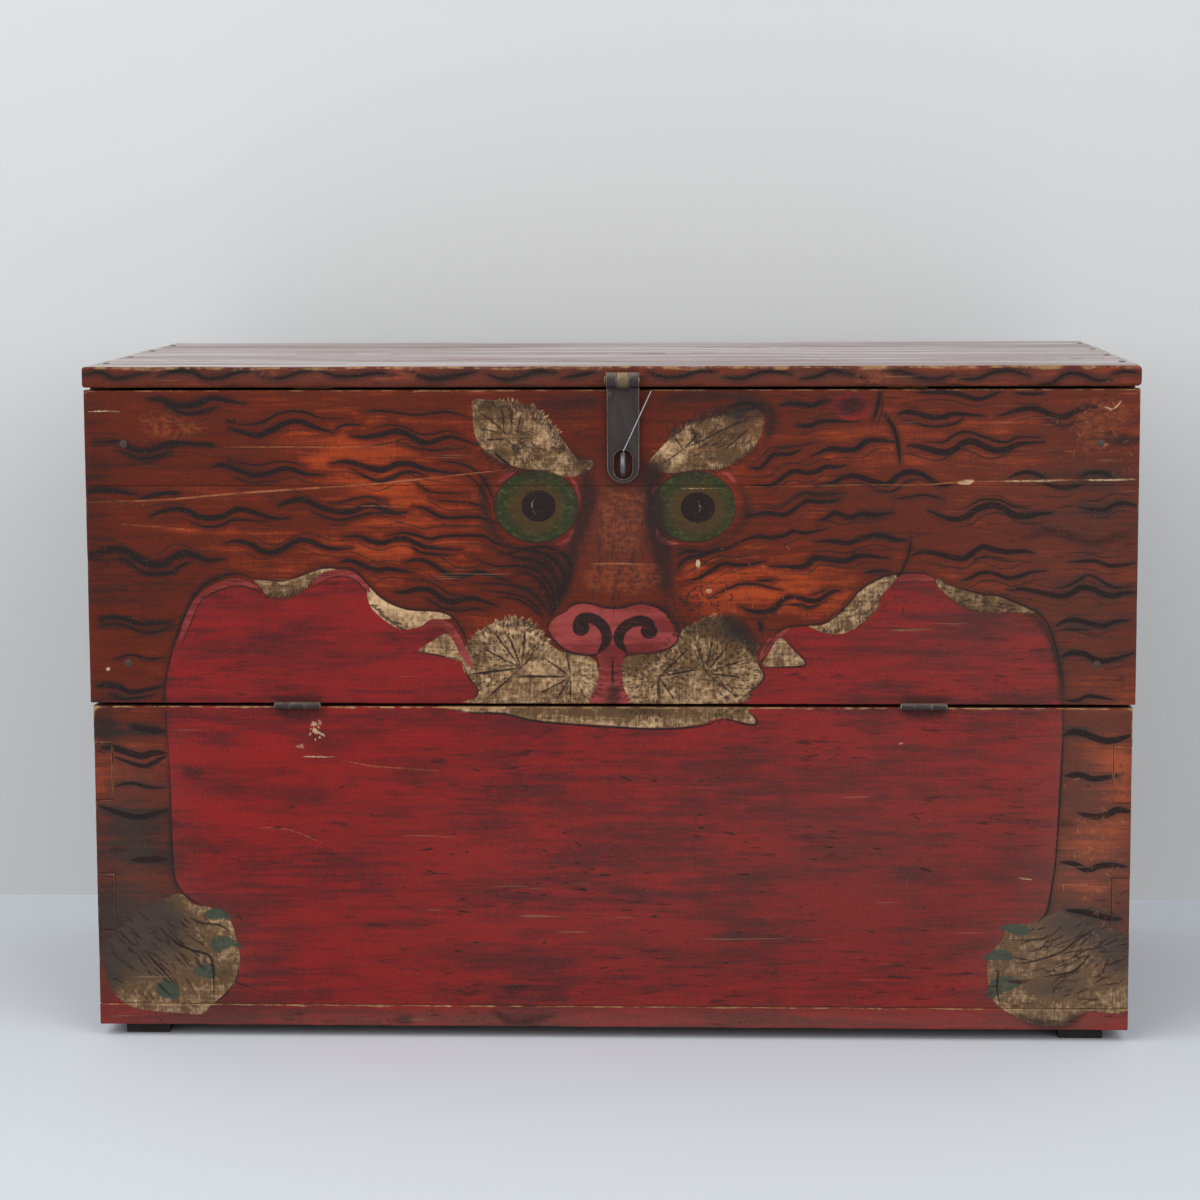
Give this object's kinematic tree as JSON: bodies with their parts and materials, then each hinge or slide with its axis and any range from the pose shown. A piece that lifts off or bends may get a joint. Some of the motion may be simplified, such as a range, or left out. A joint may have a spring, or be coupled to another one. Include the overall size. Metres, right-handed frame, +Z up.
{
  "type": "drop-front trunk",
  "caption": "Painted wooden trunk with a fixed plank top, a drop-front flap on butt hinges above a fixed lower front, and a hasp on the top edge that closes over a staple.",
  "frame": {"origin": "on the floor, under the middle of the whole outline", "axes": "+X to the viewer's right along the trunk, +Y from the front to the back, +Z up"},
  "size_m": [1.06, 0.55, 0.6906],
  "materials": {
    "painted_front": "worn hand-painted lacquer over wood",
    "lacquered_boards": "worn dark red-brown lacquer over wood",
    "bare_wood": "bare aged softwood",
    "dark_iron": "dark worn wrought iron",
    "bright_wire": "bare steel wire"
  },
  "bodies": {
    "chest": {"back_board_lower": "lacquered_boards", "back_board_upper": "lacquered_boards", "bottom_nail_left_back": "dark_iron", "bottom_nail_left_front": "dark_iron", "bottom_nail_right_back": "dark_iron", "bottom_nail_right_front": "dark_iron", "bottom_plank_back": "lacquered_boards", "bottom_plank_front": "lacquered_boards", "front_panel": "painted_front", "hasp_anchor": "dark_iron", "hinge_left_lower_leaf": "dark_iron", "hinge_left_lower_screw_1": "dark_iron", "hinge_left_lower_screw_2": "dark_iron", "hinge_left_pin": "dark_iron", "hinge_right_lower_leaf": "dark_iron", "hinge_right_lower_screw_1": "dark_iron", "hinge_right_lower_screw_2": "dark_iron", "hinge_right_pin": "dark_iron", "side_left_lower": "lacquered_boards", "side_left_upper": "lacquered_boards", "side_right_lower": "lacquered_boards", "side_right_upper": "lacquered_boards", "skid_left": "bare_wood", "skid_nail_left_back": "dark_iron", "skid_nail_left_front": "dark_iron", "skid_nail_right_back": "dark_iron", "skid_nail_right_front": "dark_iron", "skid_right": "bare_wood", "top_batten_left": "bare_wood", "top_batten_right": "bare_wood", "top_nail_left_1": "dark_iron", "top_nail_left_2": "dark_iron", "top_nail_left_3": "dark_iron", "top_nail_left_4": "dark_iron", "top_nail_right_1": "dark_iron", "top_nail_right_2": "dark_iron", "top_nail_right_3": "dark_iron", "top_nail_right_4": "dark_iron", "top_plank_back": "lacquered_boards", "top_plank_front": "lacquered_boards", "top_plank_mid_back": "lacquered_boards", "top_plank_mid_front": "lacquered_boards"},
    "flap": {"flap_batten_left": "bare_wood", "flap_batten_right": "bare_wood", "flap_lower_board": "painted_front", "flap_nail_left_lower": "dark_iron", "flap_nail_left_upper": "dark_iron", "flap_nail_right_lower": "dark_iron", "flap_nail_right_upper": "dark_iron", "flap_upper_board": "painted_front", "hinge_left_upper_leaf": "dark_iron", "hinge_left_upper_screw_1": "dark_iron", "hinge_left_upper_screw_2": "dark_iron", "hinge_right_upper_leaf": "dark_iron", "hinge_right_upper_screw_1": "dark_iron", "hinge_right_upper_screw_2": "dark_iron", "staple": "dark_iron"},
    "hasp": {"hasp_pin": "dark_iron", "hasp_strap": "dark_iron", "keeper_wire": "bright_wire"}
  },
  "joints": [
    {"name": "flap_drop", "type": "hinge", "parent": "chest", "child": "flap", "pos_m": [0, -0.2595, 0.3463], "axis": [1, 0, 0], "range_deg": [0, 175]},
    {"name": "hasp_lift", "type": "hinge", "parent": "chest", "child": "hasp", "pos_m": [0.0147, -0.2665, 0.676], "axis": [-1, 0, 0], "range_deg": [0, 180]}
  ]
}
